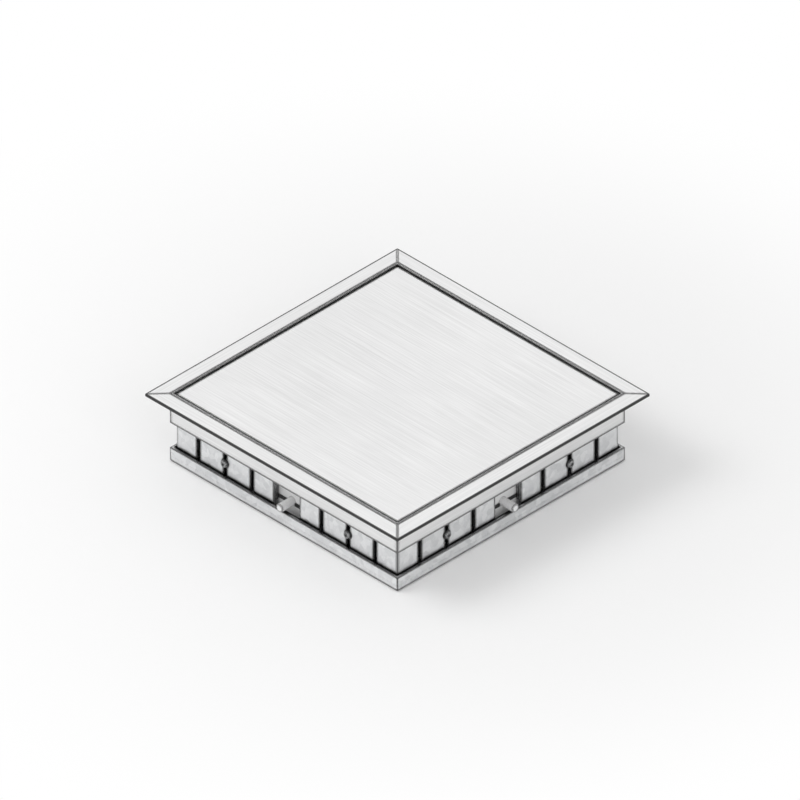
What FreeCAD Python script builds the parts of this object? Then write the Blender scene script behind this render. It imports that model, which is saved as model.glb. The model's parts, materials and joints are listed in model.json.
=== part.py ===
import FreeCAD, Part
import operator
import os
from types import SimpleNamespace

import Sketcher
from FreeCAD import Placement, Rotation, Vector

# A height-adjustable floor box. Row frame: X to the right, Y to the back, Z up,
# origin at the centre of the underside of the base tray. All sizes in millimetres.
DRIVING_SIZES = {
    # Outline of the box and its trim.
    "trim_side": "325",
    "box_height": "75",
    "trim_width": "16",
    "trim_edge": "2.5",
    "trim_rise": "0.7",
    "trim_leg_height": "11",
    "trim_leg_thickness": "2",
    "mitre_gap": "0.2",
    "cut_over": "1",
    "edge_round": "0.4",
    # Upper frame, gasket and lid.
    "skirt_thickness": "2.5",
    "skirt_height": "32.6",
    "ledge_thickness": "2",
    "gasket_height": "3",
    "gasket_width": "5.4",
    "gasket_gap": "0.2",
    "lid_gap": "1.9",
    "lid_drop": "0.8",
    "lid_height": "11",
    "lid_skin": "3",
    "lid_edge": "2.5",
    "rib_width": "44",
    "rib_flange": "11",
    "rib_sheet": "2",
    "rib_spacing": "84",
    "rib_end_gap": "2",
    "rivet_spacing": "105",
    "rivet_radius": "1.5",
    "rivet_head_radius": "2.8",
    "rivet_head_height": "0.9",
    # Slotted side wall and clamp sleeve.
    "wall_clearance": "1.4",
    "wall_thickness": "3",
    "wall_overlap": "10",
    "wall_bridge": "6.4",
    "wall_corner": "2",
    "wall_flange": "22",
    "slot_width": "4.4",
    "slot_first": "44.7",
    "slot_pitch": "34.5",
    "slot_foot": "3.5",
    "window_width": "33.4",
    "sleeve_gap": "0.3",
    "sleeve_thickness": "2.5",
    "sleeve_drop": "11.2",
    # Clamp screws, studs and nuts.
    "screw_radius": "2",
    "screw_length": "12",
    "screw_clearance": "0.15",
    "head_radius": "3.5",
    "head_height": "2.4",
    "head_rim": "1.3",
    "head_crown": "2.2",
    "drive_reach": "1.5",
    "drive_width": "0.9",
    "drive_depth": "1.2",
    "washer_radius": "4.5",
    "washer_thickness": "0.8",
    "nut_flats": "7",
    "nut_height": "3.2",
    "stud_end": "1",
    "stud_inset": "15.4",
    # Levelling screws and their gussets.
    "jack_radius": "3",
    "jack_fit": "0.05",
    "jack_inset": "7.8",
    "jack_end": "9.2",
    "jack_slot_width": "1.2",
    "jack_slot_depth": "2.1",
    "gusset_leg": "26",
    "gusset_thickness": "4",
    "gusset_drop": "8.2",
    # Base tray.
    "tray_sheet": "1.5",
    "tray_bend": "1.7",
    "lip_height": "15",
    "hem_depth": "9",
    "anchor_inset": "6.6",
    "anchor_radius": "3.25",
    # Cable entries.
    "entry_setback": "7.35",
    "entry_height": "22.7",
    "entry_width": "52",
    "bracket_sheet": "2",
    "bracket_foot": "16",
    "bracket_below": "2.4",
    "bracket_stud_inset": "7",
    "bend_round": "1",
    "seal_lip": "1.5",
    "seal_rim": "4",
    "seal_opening": "36",
    "seal_frame": "5",
    "seal_band": "3.5",
    "seal_band_rise": "0.75",
    "seal_band_drop": "0.3",
    "plug_radius": "4.2",
    "plug_fit": "0.05",
    "plug_reach": "9.7",
    "plug_tail": "5",
    # Device carriers and the inserts in them.
    "channel_half": "20",
    "carrier_wall_gap": "7.6",
    "carrier_end_gap": "12.6",
    "carrier_top": "30",
    "carrier_sheet": "2",
    "carrier_foot": "10",
    "carrier_stud_inset": "10.5",
    "module_side": "45",
    "module_fit": "0.2",
    "module_margin": "12",
    "module_depth": "23",
    "bezel_side": "49",
    "bezel_height": "1.5",
    "recess_radius": "19.35",
    "recess_depth": "15",
    "pin_offset": "9.5",
    "pin_radius": "2.7",
    "pin_depth": "5.5",
    "clip_width": "5",
    "clip_thickness": "1.6",
    "clip_height": "12",
    "clip_inset": "1.6",
    "port_width": "12",
    "port_height": "9.6",
    "port_depth": "13.8",
    "port_offset": "10.8",
    "latch_width": "6",
    "latch_depth": "2.7",
    "notch_width": "10.8",
    "notch_height": "2.7",
    "notch_inset": "1.8",
    "notch_depth": "3",
    # Earth terminal in the channel between the carriers.
    "earth_radius": "3",
    "earth_head_radius": "6",
    "earth_head_height": "2",
    "earth_length": "22.5",
    "earth_nut_flats": "10",
    "earth_nut_height": "4.5",
    "earth_nut_gap": "2.7",
}

HEXAGON = 1.7320508
SIDES = ("front", "right", "back", "left")

doc = FreeCAD.newDocument("floor_box")
sheet = doc.addObject("Spreadsheet::Sheet", "Sizes")
for row, (alias, amount) in enumerate(DRIVING_SIZES.items(), start=1):
    sheet.set(f"A{row}", alias)
    sheet.set(f"B{row}", amount)
    sheet.setAlias(f"B{row}", alias)
doc.recompute()

OPERATIONS = {"+": operator.add, "-": operator.sub, "*": operator.mul, "/": operator.truediv}


class Size:
    """A length with its present value and the sheet expression that it follows."""

    def __init__(self, text, value):
        self.text = text
        self.value = value

    def __add__(self, other):
        return combine(self, "+", other)

    def __radd__(self, other):
        return combine(other, "+", self)

    def __sub__(self, other):
        return combine(self, "-", other)

    def __rsub__(self, other):
        return combine(other, "-", self)

    def __mul__(self, other):
        return combine(self, "*", other)

    def __rmul__(self, other):
        return combine(other, "*", self)

    def __truediv__(self, other):
        return combine(self, "/", other)

    def __neg__(self):
        return combine(0, "-", self)


def size(amount):
    if isinstance(amount, Size):
        return amount
    return Size(f"({float(amount)})", float(amount))


def combine(left, sign, right):
    left = size(left)
    right = size(right)
    value = OPERATIONS[sign](left.value, right.value)
    return Size(f"({left.text} {sign} {right.text})", value)


s = SimpleNamespace(**{a: Size(f"Sizes.{a}", float(sheet.get(a))) for a in DRIVING_SIZES})


class Outline:
    """A fully constrained sketch on an origin plane of a body, tied to the sheet."""

    def __init__(self, body, plane, offset=0):
        self.sketch = body.newObject("Sketcher::SketchObject", f"{body.Label}_outline")
        support = next(f for f in body.Origin.OriginFeatures if f.Role == f"{plane}_Plane")
        self.sketch.AttachmentSupport = [(support, "")]
        self.sketch.MapMode = "FlatFace"
        self.sketch.setExpression("AttachmentOffset.Base.z", size(offset).text)

    def tie(self, kind, *place, amount):
        index = self.sketch.addConstraint(Sketcher.Constraint(kind, *place, amount.value))
        self.sketch.renameConstraint(index, f"size{index}")
        self.sketch.setExpression(f"Constraints.size{index}", amount.text)

    def fix(self, line, point, x, y):
        self.tie("DistanceX", -1, 1, line, point, amount=size(x))
        self.tie("DistanceY", -1, 1, line, point, amount=size(y))

    def polygon(self, *corners):
        first = self.sketch.GeometryCount
        count = len(corners)
        spots = [Vector(size(x).value, size(y).value, 0) for x, y in corners]
        for start, end in zip(spots, spots[1:] + spots[:1]):
            self.sketch.addGeometry(Part.LineSegment(start, end), False)
        for i, (x, y) in enumerate(corners):
            after = first + (i + 1) % count
            self.sketch.addConstraint(Sketcher.Constraint("Coincident", first + i, 2, after, 1))
            self.fix(first + i, 1, x, y)
        return self

    def rectangle(self, x0, x1, y0, y1):
        return self.polygon((x0, y0), (x1, y0), (x1, y1), (x0, y1))

    def square(self, half):
        return self.rectangle(-half, half, -half, half)

    def circle(self, x, y, radius):
        spot = Vector(size(x).value, size(y).value, 0)
        round_ = Part.Circle(spot, Vector(0, 0, 1), size(radius).value)
        line = self.sketch.addGeometry(round_, False)
        self.fix(line, 3, x, y)
        self.tie("Radius", line, amount=size(radius))
        return self

    def slot(self, x, low, high, width):
        """An upright slot with round ends, its ends at low and high."""
        radius = width / 2
        r = radius.value
        foot = Vector(size(x).value, size(low + radius).value, 0)
        head = Vector(size(x).value, size(high - radius).value, 0)
        step = Vector(r, 0, 0)
        up = Vector(0, 0, 1)
        pi = 3.141592653589793
        lines = [
            Part.LineSegment(head - step, foot - step),
            Part.ArcOfCircle(Part.Circle(foot, up, r), pi, 2 * pi),
            Part.LineSegment(foot + step, head + step),
            Part.ArcOfCircle(Part.Circle(head, up, r), 0, pi),
        ]
        first = self.sketch.GeometryCount
        self.sketch.addGeometry(lines, False)
        for i in range(4):
            after = first + (i + 1) % 4
            self.sketch.addConstraint(Sketcher.Constraint("Tangent", first + i, 2, after, 1))
        self.sketch.addConstraint(Sketcher.Constraint("Equal", first + 1, first + 3))
        self.fix(first + 1, 3, x, low + radius)
        self.fix(first + 3, 3, x, high - radius)
        self.tie("Radius", first + 1, amount=radius)
        return self


def new_body(label):
    body = doc.addObject("PartDesign::Body", label)
    body.Label = label
    body.AllowCompound = True
    return body


def pad(body, outline, length, flip=False, both=False):
    feature = body.newObject("PartDesign::Pad", f"{body.Label}_pad")
    feature.Profile = outline.sketch
    feature.setExpression("Length", size(length).text)
    feature.Reversed = flip
    feature.SideType = "Symmetric" if both else "One side"
    return feature


def pocket(body, outline, depth, flip=False):
    feature = body.newObject("PartDesign::Pocket", f"{body.Label}_pocket")
    feature.Profile = outline.sketch
    feature.setExpression("Length", size(depth).text)
    feature.Reversed = flip
    return feature


def cut_through(body, outline):
    """Cuts an outline through the whole body, to both sides of its plane."""
    feature = body.newObject("PartDesign::Pocket", f"{body.Label}_through")
    feature.Profile = outline.sketch
    feature.SideType = "Symmetric"
    feature.Type = "ThroughAll"
    return feature


def revolve(body, outline):
    """Turns an outline drawn on the XZ plane about the body's Z axis."""
    feature = body.newObject("PartDesign::Revolution", f"{body.Label}_turned")
    feature.Profile = outline.sketch
    feature.ReferenceAxis = (outline.sketch, ["V_Axis"])
    feature.Angle = 360
    return feature


def soften(body, chosen, amount, kind="Fillet"):
    """Rounds or bevels the edges of the body's last feature for which chosen holds."""
    doc.recompute()
    base = body.Tip
    names = [f"Edge{i}" for i, e in enumerate(base.Shape.Edges, start=1) if chosen(e)]
    feature = body.newObject(f"PartDesign::{kind}", f"{body.Label}_edge")
    feature.Base = (base, names)
    feature.setExpression("Radius" if kind == "Fillet" else "Size", size(amount).text)
    return feature


def place(item, x=0, y=0, z=0, turn=None):
    """Puts an item at a point tied to the sheet, turned first."""
    item.Placement = Placement(Vector(0, 0, 0), turn or Rotation())
    for axis, amount in (("x", x), ("y", y), ("z", z)):
        item.setExpression(f"Placement.Base.{axis}", size(amount).text)
    return item


def quarter(side):
    return Rotation(Vector(0, 0, 1), 90 * SIDES.index(side))


def outward(side):
    """Turns +Z of a fastener to point out of a side."""
    return quarter(side) * Rotation(Vector(1, 0, 0), 90)


def on_side(side, along, out):
    """The X and Y of a point on a side: its place along the side and out from the middle."""
    places = {
        "front": (along, -out),
        "right": (out, along),
        "back": (-along, out),
        "left": (-out, -along),
    }
    return places[side]


def copies(label, pattern, spots):
    """One node of equal pieces: the pattern body repeated at (x, y, z, turn) spots."""
    links = []
    for x, y, z, turn in spots:
        link = doc.addObject("App::Link", f"{label}_copy")
        link.LinkedObject = pattern
        links.append(place(link, x, y, z, turn))
    group = doc.addObject("Part::Compound", label)
    group.Label = label
    group.Links = links
    return group


def flat_at(level):
    """Chooses edges that lie in the level plane."""
    return lambda edge: all(abs(v.Z - level.value) < 1e-4 for v in edge.Vertexes)


def along_x(*lines):
    """Chooses edges that run along X through any of these (y, z) points."""
    def chosen(edge):
        ends = [v.Point for v in edge.Vertexes]
        if len(ends) < 2 or (ends[0] - ends[1]).cross(Vector(1, 0, 0)).Length > 1e-4:
            return False
        return any(abs(ends[0].y - y.value) + abs(ends[0].z - z.value) < 1e-3 for y, z in lines)
    return chosen


def upright_at(reach):
    """Chooses upright edges at the corners of a square of this half side."""
    def chosen(edge):
        ends = [v.Point for v in edge.Vertexes]
        if len(ends) < 2 or (ends[0] - ends[1]).cross(Vector(0, 0, 1)).Length > 1e-4:
            return False
        return all(abs(abs(c) - reach.value) < 1e-4 for c in (ends[0].x, ends[0].y))
    return chosen


# Levels and faces that several pieces share.
trim_out = s.trim_side / 2
half = trim_out - s.trim_width
top = s.box_height
trim_low = top - s.trim_rise - s.trim_edge
leg_out = half + s.trim_leg_thickness
leg_low = trim_low - s.trim_leg_height
skirt_in = half - s.skirt_thickness
skirt_low = top - s.skirt_height
lid_half = skirt_in - s.lid_gap
lid_top = top - s.lid_drop
lid_low = lid_top - s.lid_height
ledge_top = lid_low - s.gasket_height
ledge_low = ledge_top - s.ledge_thickness
wall_out = skirt_in - s.wall_clearance
wall_in = wall_out - s.wall_thickness
wall_top = skirt_low + s.wall_overlap
floor_top = s.tray_sheet
flange_top = floor_top + s.wall_thickness
slot_low = flange_top + s.slot_foot
slot_high = wall_top - s.wall_bridge
sleeve_out = wall_in - s.sleeve_gap
sleeve_in = sleeve_out - s.sleeve_thickness
clamp_level = (s.lip_height + skirt_low) / 2
sleeve_low = clamp_level - s.sleeve_drop
clamp_place = s.slot_first + s.slot_pitch
slot_places = [s.slot_first, clamp_place, clamp_place + s.slot_pitch]
rivet_level = (trim_low + leg_low) / 2
rivet_places = [-s.rivet_spacing, size(0), s.rivet_spacing]
jack_place = sleeve_in - s.jack_inset
gusset_top = ledge_low - s.gusset_drop
seal_face = wall_out - s.entry_setback
bracket_face = seal_face - s.seal_lip
bracket_back = bracket_face - s.bracket_sheet
bracket_top = wall_top - s.bracket_below
foot_end = bracket_face - s.bracket_foot
foot_top = flange_top + s.bracket_sheet
entry_half = s.seal_opening / 2
entry_low = foot_top + s.seal_frame
entry_high = bracket_top - s.seal_frame
flange_in = wall_in - s.wall_flange
stud_out = wall_in - s.stud_inset
bracket_stud_along = s.entry_width / 2 - s.bracket_stud_inset
carrier_near = s.channel_half
carrier_far = flange_in - s.carrier_wall_gap - s.carrier_foot
carrier_place = (carrier_near + carrier_far) / 2
carrier_half = flange_in - s.carrier_end_gap
carrier_foot_top = floor_top + s.carrier_sheet
carrier_stud_along = carrier_half - s.carrier_stud_inset
carrier_stud_outs = [carrier_near - s.carrier_foot / 2, carrier_far + s.carrier_foot / 2]
anchor_place = flange_in - s.anchor_inset
hole_radius = s.screw_radius + s.screw_clearance
bend_outside = s.bend_round + s.bracket_sheet

# Where the studs stand on the floor of the tray: (x, y, level of the nut).
bracket_spots = []
for side in SIDES:
    for sign in (-1, 1):
        bracket_spots.append((*on_side(side, sign * bracket_stud_along, stud_out), foot_top))
carrier_spots = []
for x_sign in (-1, 1):
    for y_sign in (-1, 1):
        for out in carrier_stud_outs:
            carrier_spots.append((x_sign * carrier_stud_along, y_sign * out, carrier_foot_top))
stud_spots = bracket_spots + carrier_spots
nodes = []

# Base tray of folded sheet: floor, upstand with a hemmed lip, anchor holes.
tray = new_body("base_tray")
pad(tray, Outline(tray, "XY").square(half), s.lip_height)
soften(tray, flat_at(size(0)), s.tray_bend)
pocket(tray, Outline(tray, "XY", s.lip_height).square(half - 2 * s.tray_sheet), s.lip_height - floor_top)
undercut = Outline(tray, "XY", floor_top).square(half - s.tray_sheet)
pocket(tray, undercut, s.lip_height - s.hem_depth - floor_top, flip=True)
anchors = Outline(tray, "XY", floor_top)
for x_sign in (-1, 1):
    for y_sign in (-1, 1):
        anchors.circle(x_sign * anchor_place, y_sign * anchor_place, s.anchor_radius)
pocket(tray, anchors, s.tray_sheet)
soften(tray, flat_at(s.lip_height), s.edge_round)
nodes.append(tray)

# Slotted side wall, folded from one strip, with an inward foot flange.
wall = new_body("side_wall")
pad(wall, Outline(wall, "XY", floor_top).square(wall_out).square(wall_in), wall_top - floor_top)
pad(wall, Outline(wall, "XY", floor_top).square(wall_in).square(flange_in), s.wall_thickness)
soften(wall, upright_at(wall_out), s.wall_corner)
for plane in ("XZ", "YZ"):
    openings = Outline(wall, plane)
    half_window = s.window_width / 2
    openings.rectangle(-half_window, half_window, slot_low, slot_high)
    for along in slot_places:
        openings.slot(along, slot_low, slot_high, s.slot_width)
        openings.slot(-along, slot_low, slot_high, s.slot_width)
    cut_through(wall, openings)
foot_holes = Outline(wall, "XY", flange_top)
for x, y, level in bracket_spots:
    foot_holes.circle(x, y, hole_radius)
pocket(wall, foot_holes, s.wall_thickness)
nodes.append(wall)

# Studs welded to the tray floor, and the nuts on them.
stud = new_body("stud_pattern")
stud_length = foot_top + s.nut_height + s.stud_end - floor_top
pad(stud, Outline(stud, "XY").circle(0, 0, s.screw_radius), stud_length)
nodes.append(copies("tray_studs", stud, [(x, y, floor_top, None) for x, y, level in stud_spots]))


def hex_nut(label, flats, height, bore):
    """A hexagon nut standing on the XY plane, with a bore."""
    nut = new_body(label)
    flat = flats / 2
    long = flats / HEXAGON
    short = long / 2
    outline = Outline(nut, "XY").polygon(
        (long, 0), (short, flat), (-short, flat), (-long, 0), (-short, -flat), (short, -flat)
    )
    pad(nut, outline.circle(0, 0, bore), height)
    return nut


nut = hex_nut("nut_pattern", s.nut_flats, s.nut_height, s.screw_radius)
nodes.append(copies("stud_nuts", nut, [(x, y, level, None) for x, y, level in stud_spots]))

# Cable entries: a bracket on the wall's foot, a moulded seal in it, a blanking plug.
bracket_half = s.entry_width / 2
lip_half = entry_half + s.seal_rim
lip_low = entry_low - s.seal_rim
lip_high = entry_high + s.seal_rim
band_high = s.entry_height - s.seal_band_drop
band_low = band_high - s.seal_band
plug_end = wall_out + s.plug_reach
plug_back = bracket_back - s.seal_lip - s.plug_tail
for side in SIDES:
    bracket = new_body(f"entry_bracket_{side}")
    upright = Outline(bracket, "XZ", bracket_face)
    upright.rectangle(-bracket_half, bracket_half, flange_top, bracket_top)
    upright.rectangle(-entry_half, entry_half, entry_low, entry_high)
    pad(bracket, upright, s.bracket_sheet, flip=True)
    foot = Outline(bracket, "XY", flange_top)
    foot.rectangle(-bracket_half, bracket_half, -bracket_back, -foot_end)
    for sign in (-1, 1):
        foot.circle(sign * bracket_stud_along, -stud_out, hole_radius)
    pad(bracket, foot, s.bracket_sheet)
    soften(bracket, along_x((-bracket_face, flange_top)), bend_outside)
    soften(bracket, along_x((-bracket_back, foot_top)), s.bend_round)
    nodes.append(place(bracket, turn=quarter(side)))

    seal = new_body(f"entry_seal_{side}")
    for face, reach, low, high, depth in (
        (seal_face, lip_half, lip_low, lip_high, s.seal_lip),
        (bracket_face, entry_half, entry_low, entry_high, s.bracket_sheet),
        (bracket_back, lip_half, lip_low, lip_high, s.seal_lip),
    ):
        pad(seal, Outline(seal, "XZ", face).rectangle(-reach, reach, low, high), depth, flip=True)
    band = Outline(seal, "XZ", seal_face).rectangle(-lip_half, lip_half, band_low, band_high)
    pad(seal, band, s.seal_band_rise)
    bore = Outline(seal, "XZ", seal_face + s.seal_band_rise)
    bore.circle(0, s.entry_height, s.plug_radius + s.plug_fit)
    pocket(seal, bore, s.seal_band_rise + 2 * s.seal_lip + s.bracket_sheet)
    nodes.append(place(seal, turn=quarter(side)))

    plug = new_body(f"blanking_plug_{side}")
    pin = Outline(plug, "XZ", plug_back).circle(0, s.entry_height, s.plug_radius)
    pad(plug, pin, plug_end - plug_back)
    soften(plug, lambda edge: len(edge.Vertexes) == 1, s.edge_round, kind="Chamfer")
    nodes.append(place(plug, turn=quarter(side)))

# Two folded carriers, power at the back, data in front. Each has three module openings, one in
# the middle of each third of its length between the end margins.
half_module = s.module_side / 2
module_pitch = (carrier_half - s.module_margin) * 2 / 3
module_places = [-module_pitch, size(0), module_pitch]
under_plate = s.carrier_top - s.carrier_sheet
near_inside = carrier_near + s.carrier_sheet
far_inside = carrier_far - s.carrier_sheet
for label, turn in (("power_carrier", 0), ("data_carrier", 180)):
    carrier = new_body(label)
    section = Outline(carrier, "YZ").polygon(
        (carrier_near - s.carrier_foot, floor_top),
        (near_inside, floor_top),
        (near_inside, under_plate),
        (far_inside, under_plate),
        (far_inside, floor_top),
        (carrier_far + s.carrier_foot, floor_top),
        (carrier_far + s.carrier_foot, carrier_foot_top),
        (carrier_far, carrier_foot_top),
        (carrier_far, s.carrier_top),
        (carrier_near, s.carrier_top),
        (carrier_near, carrier_foot_top),
        (carrier_near - s.carrier_foot, carrier_foot_top),
    )
    pad(carrier, section, 2 * carrier_half, both=True)
    outside_bends = along_x(
        (carrier_near, s.carrier_top),
        (carrier_far, s.carrier_top),
        (near_inside, floor_top),
        (far_inside, floor_top),
    )
    soften(carrier, outside_bends, s.bend_round + s.carrier_sheet)
    inside_bends = along_x(
        (near_inside, under_plate),
        (far_inside, under_plate),
        (carrier_near, carrier_foot_top),
        (carrier_far, carrier_foot_top),
    )
    soften(carrier, inside_bends, s.bend_round)
    holes = Outline(carrier, "XY", s.carrier_top)
    reach = half_module + s.module_fit
    for x in module_places:
        holes.rectangle(x - reach, x + reach, carrier_place - reach, carrier_place + reach)
    pocket(carrier, holes, s.carrier_sheet)
    stud_holes = Outline(carrier, "XY", carrier_foot_top)
    for sign in (-1, 1):
        for out in carrier_stud_outs:
            stud_holes.circle(sign * carrier_stud_along, out, hole_radius)
    pocket(carrier, stud_holes, s.carrier_sheet)
    nodes.append(place(carrier, turn=Rotation(Vector(0, 0, 1), turn)))


def module(label, x, y):
    """A square insert with a bezel on the carrier; local Z is 0 at the carrier's top."""
    insert = new_body(label)
    pad(insert, Outline(insert, "XY").square(s.bezel_side / 2), s.bezel_height)
    soften(insert, flat_at(s.bezel_height), s.edge_round)
    pad(insert, Outline(insert, "XY").square(half_module), s.module_depth - s.bezel_height, flip=True)
    nodes.append(place(insert, x, y, s.carrier_top))
    return insert


# Socket inserts: round recess, two pin holes, and earth clips at the recess wall.
recess_floor = s.bezel_height - s.recess_depth
clip_out = s.recess_radius - s.clip_inset - s.clip_thickness / 2
clip_spots = []
for number, x in enumerate(module_places, start=1):
    socket = module(f"power_socket_{number}", x, carrier_place)
    pocket(socket, Outline(socket, "XY", s.bezel_height).circle(0, 0, s.recess_radius), s.recess_depth)
    pins = Outline(socket, "XY", recess_floor)
    for sign in (-1, 1):
        pins.circle(sign * s.pin_offset, 0, s.pin_radius)
        clip_spots.append((x, carrier_place + sign * clip_out, s.carrier_top + recess_floor, None))
    pocket(socket, pins, s.pin_depth)
clip = new_body("clip_pattern")
clip_x = s.clip_width / 2
clip_y = s.clip_thickness / 2
pad(clip, Outline(clip, "XY").rectangle(-clip_x, clip_x, -clip_y, clip_y), s.clip_height)
nodes.append(copies("socket_earth_clips", clip, clip_spots))

# Data inserts with two outlet ports each, and one blank insert with a finger notch.
port_x = s.port_width / 2
port_y = s.port_height / 2
latch_x = s.latch_width / 2
latch_y = port_y + s.latch_depth
for number, x in enumerate((module_places[0], module_places[2]), start=1):
    outlet = module(f"data_outlet_{number}", x, -carrier_place)
    ports = Outline(outlet, "XY", s.bezel_height)
    for sign in (-1, 1):
        middle = sign * s.port_offset
        ports.polygon(
            (middle - port_x, -port_y),
            (middle - latch_x, -port_y),
            (middle - latch_x, -latch_y),
            (middle + latch_x, -latch_y),
            (middle + latch_x, -port_y),
            (middle + port_x, -port_y),
            (middle + port_x, port_y),
            (middle - port_x, port_y),
        )
    pocket(outlet, ports, s.port_depth)
blank = module("blank_insert", module_places[1], -carrier_place)
notch_x = s.notch_width / 2
notch_high = half_module - s.notch_inset
notch = Outline(blank, "XY", s.bezel_height)
notch.rectangle(-notch_x, notch_x, notch_high - s.notch_height, notch_high)
pocket(blank, notch, s.notch_depth)

# Earth stud in the channel between the carriers, with two nuts.
earth = new_body("earth_stud")
earth_seat = floor_top + s.earth_head_height
earth_end = floor_top + s.earth_length
revolve(
    earth,
    Outline(earth, "XZ").polygon(
        (0, floor_top),
        (s.earth_head_radius, floor_top),
        (s.earth_head_radius, earth_seat),
        (s.earth_radius, earth_seat),
        (s.earth_radius, earth_end),
        (0, earth_end),
    ),
)
nodes.append(place(earth))
earth_nut = hex_nut("earth_nut_pattern", s.earth_nut_flats, s.earth_nut_height, s.earth_radius)
upper_nut = earth_seat + s.earth_nut_height + s.earth_nut_gap
nodes.append(copies("earth_nuts", earth_nut, [(0, 0, level, None) for level in (earth_seat, upper_nut)]))

# Upper frame: upright skirt with the lid's ledge, over the top of the slotted wall.
frame = new_body("upper_frame")
pad(frame, Outline(frame, "XY", skirt_low).square(half).square(skirt_in), s.skirt_height)
pad(frame, Outline(frame, "XY", ledge_low).square(skirt_in).square(sleeve_in), s.ledge_thickness)
for plane in ("XZ", "YZ"):
    rivet_holes = Outline(frame, plane)
    for along in rivet_places:
        rivet_holes.circle(along, rivet_level, s.rivet_radius)
    cut_through(frame, rivet_holes)
nodes.append(frame)

# Clamp sleeve inside the wall, open at the cable entries, with holes for the clamp screws.
sleeve = new_body("clamp_sleeve")
pad(sleeve, Outline(sleeve, "XY", sleeve_low).square(sleeve_out).square(sleeve_in), ledge_low - sleeve_low)
for plane in ("XZ", "YZ"):
    cutouts = Outline(sleeve, plane)
    half_window = s.window_width / 2
    cutouts.rectangle(-half_window, half_window, floor_top, wall_top)
    for sign in (-1, 1):
        cutouts.circle(sign * clamp_place, clamp_level, hole_radius)
    cut_through(sleeve, cutouts)
nodes.append(sleeve)

# Clamp screws with washers outside the slots and nuts inside the sleeve.
clamp = new_body("clamp_screw_pattern")
revolve(
    clamp,
    Outline(clamp, "XZ").polygon(
        (0, -s.screw_length),
        (s.screw_radius, -s.screw_length),
        (s.screw_radius, 0),
        (s.head_radius, 0),
        (s.head_radius, s.head_rim),
        (s.head_crown, s.head_height),
        (0, s.head_height),
    ),
)
bar = s.drive_width / 2
for x, y in ((s.drive_reach, bar), (bar, s.drive_reach)):
    pocket(clamp, Outline(clamp, "XY", s.head_height).rectangle(-x, x, -y, y), s.drive_depth)
washer = new_body("washer_pattern")
ring = Outline(washer, "XY").circle(0, 0, s.washer_radius).circle(0, 0, hole_radius)
pad(washer, ring, s.washer_thickness)
screw_spots = []
washer_spots = []
clamp_nut_spots = []
for side in SIDES:
    for sign in (-1, 1):
        along = sign * clamp_place
        screw_spots.append((*on_side(side, along, wall_out + s.washer_thickness), clamp_level, outward(side)))
        washer_spots.append((*on_side(side, along, wall_out), clamp_level, outward(side)))
        clamp_nut_spots.append((*on_side(side, along, sleeve_in - s.nut_height), clamp_level, outward(side)))
nodes.append(copies("clamp_screws", clamp, screw_spots))
nodes.append(copies("clamp_washers", washer, washer_spots))
nodes.append(copies("clamp_nuts", nut, clamp_nut_spots))

# Mitred trim angles round the skirt, each with a low ramp up to the lid side.
for side in SIDES:
    trim = new_body(f"trim_{side}")
    section = Outline(trim, "YZ").polygon(
        (-trim_out, trim_low),
        (-leg_out, trim_low),
        (-leg_out, leg_low),
        (-half, leg_low),
        (-half, top),
        (-trim_out, top - s.trim_rise),
    )
    pad(trim, section, trim_out * 2, both=True)
    mitres = Outline(trim, "XY")
    beyond = trim_out + s.cut_over
    within = half - s.cut_over
    shift = s.mitre_gap / 2
    for sign in (-1, 1):
        mitres.polygon(
            (sign * (within - shift), -within),
            (sign * beyond, -within),
            (sign * beyond, -beyond),
            (sign * (beyond - shift), -beyond),
        )
    cut_through(trim, mitres)
    trim_holes = Outline(trim, "XZ")
    for along in rivet_places:
        trim_holes.circle(along, rivet_level, s.rivet_radius)
    cut_through(trim, trim_holes)
    nodes.append(place(trim, turn=quarter(side)))

# Rivets that hold the trim angles to the skirt.
rivet = new_body("rivet_pattern")
grip = s.skirt_thickness + s.trim_leg_thickness
revolve(
    rivet,
    Outline(rivet, "XZ").polygon(
        (0, -s.rivet_head_height),
        (s.rivet_head_radius, -s.rivet_head_height),
        (s.rivet_head_radius, 0),
        (s.rivet_radius, 0),
        (s.rivet_radius, grip),
        (0, grip),
    ),
)
rivet_spots = []
for side in SIDES:
    for along in rivet_places:
        rivet_spots.append((*on_side(side, along, skirt_in), rivet_level, outward(side)))
nodes.append(copies("trim_rivets", rivet, rivet_spots))

# Corner gussets of the frame, each with the threaded hole of a levelling screw.
for number, side in enumerate(SIDES):
    gusset = new_body(f"corner_gusset_{number + 1}")
    plate = Outline(gusset, "XY", gusset_top - s.gusset_thickness)
    plate.polygon(
        (sleeve_in - s.gusset_leg, -sleeve_in),
        (sleeve_in, -sleeve_in),
        (sleeve_in, s.gusset_leg - sleeve_in),
    )
    plate.circle(jack_place, -jack_place, s.jack_radius + s.jack_fit)
    pad(gusset, plate, s.gusset_thickness)
    nodes.append(place(gusset, turn=quarter(side)))

    jack = new_body(f"levelling_screw_{number + 1}")
    jack_top = gusset_top + s.jack_end
    shank = Outline(jack, "XY", flange_top).circle(jack_place, -jack_place, s.jack_radius)
    pad(jack, shank, jack_top - flange_top)
    soften(jack, lambda edge: len(edge.Vertexes) == 1, s.edge_round, kind="Chamfer")
    drive = Outline(jack, "XY", jack_top)
    drive.rectangle(
        jack_place - 2 * s.jack_radius,
        jack_place + 2 * s.jack_radius,
        -jack_place - s.jack_slot_width / 2,
        -jack_place + s.jack_slot_width / 2,
    )
    pocket(jack, drive, s.jack_slot_depth)
    nodes.append(place(jack, turn=quarter(side)))

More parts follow.
